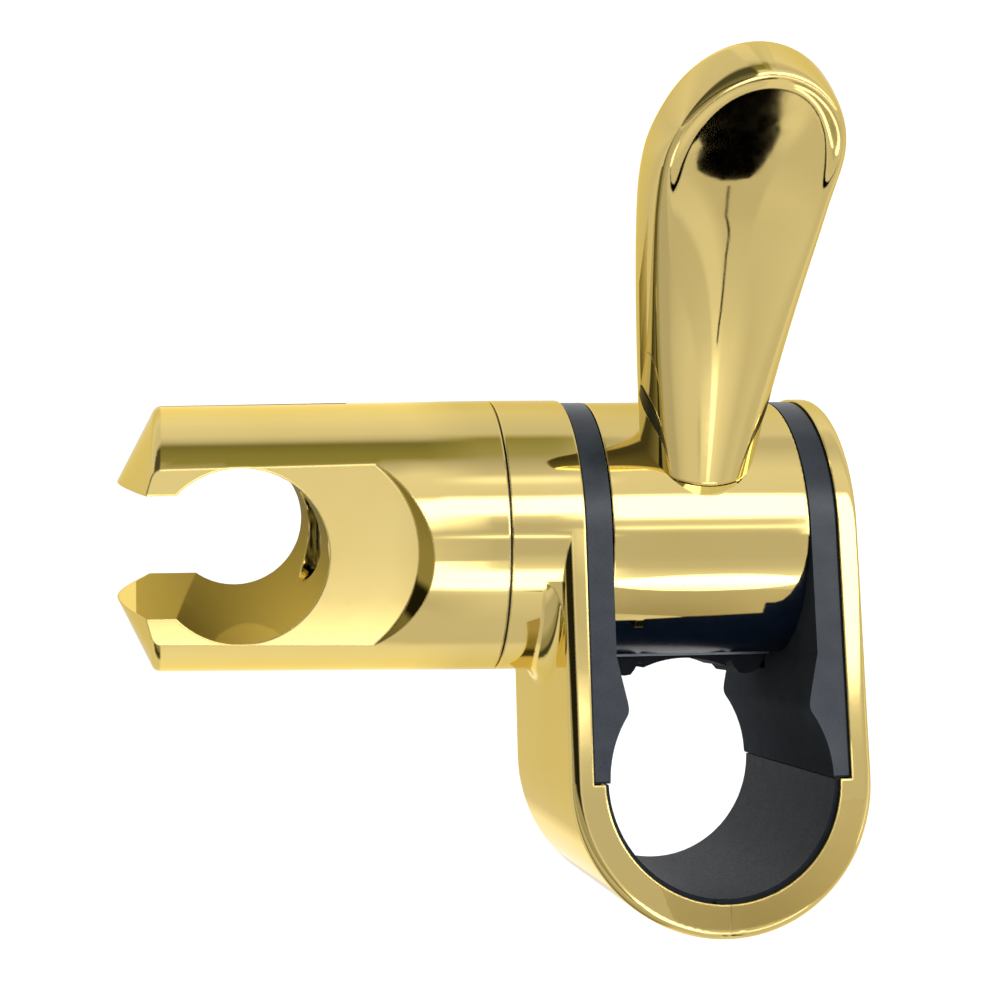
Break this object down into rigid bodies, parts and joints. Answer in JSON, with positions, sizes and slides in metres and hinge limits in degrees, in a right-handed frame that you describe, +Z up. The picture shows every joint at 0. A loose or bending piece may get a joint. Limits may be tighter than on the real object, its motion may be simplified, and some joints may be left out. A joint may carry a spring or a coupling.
{
  "type": "slide bar bracket",
  "caption": "Gold slide bar bracket for a hand shower: a strap grips the rail, a thumb lever works a cam brake, and an open socket swivels beside it.",
  "frame": {"origin": "centre of the rail bore, half way along it", "axes": "+Z up along the rail, -Y toward the user, +X toward the hand shower's socket"},
  "size_m": [0.0841, 0.0939, 0.0597],
  "materials": {
    "gold_finish": "pale gold, polished metal plating on moulded plastic",
    "dark_plastic": "fine satin, dark blue-grey",
    "liner_plastic": "satin, dark grey",
    "drum_plastic": "glossy, near black navy",
    "carrier_metal": "brushed",
    "pad_rubber": "matt",
    "steel": "plain",
    "brass": "machined",
    "bearing_plastic": "natural white"
  },
  "bodies": {
    "bracket": {"body": "gold_finish", "handset_side_cheek": "dark_plastic", "free_side_cheek": "dark_plastic", "bore_liner": "liner_plastic", "pivot_pin": "steel", "holder_screw": "steel", "collar_bush": "bearing_plastic", "joint_ring": "drum_plastic", "screw_washer": "steel", "threaded_insert": "brass", "disc_spring": "steel", "thrust_washers": "bearing_plastic"},
    "lever": {"lever": "gold_finish", "cam_drum": "drum_plastic"},
    "shoe": {"pad_carrier": "carrier_metal", "brake_pad": "pad_rubber"},
    "socket": {"handset_holder": "gold_finish", "o_ring": "pad_rubber"}
  },
  "joints": [
    {"name": "lever_turn", "type": "hinge", "parent": "bracket", "child": "lever", "pos_m": [0, -0.0277, 0], "axis": [1, 0, 0], "range_deg": [0, 100]},
    {"name": "shoe_press", "type": "slide", "parent": "bracket", "child": "shoe", "axis": [0, 1, 0], "range_m": [0, 0.0016]},
    {"name": "socket_tilt", "type": "hinge", "parent": "bracket", "child": "socket", "pos_m": [0.04, -0.0277, 0], "axis": [1, 0, 0], "continuous": true}
  ],
  "couplings": [
    {"joint": "shoe_press", "follows": "lever_turn", "m_per_rad": 0.00091673}
  ]
}
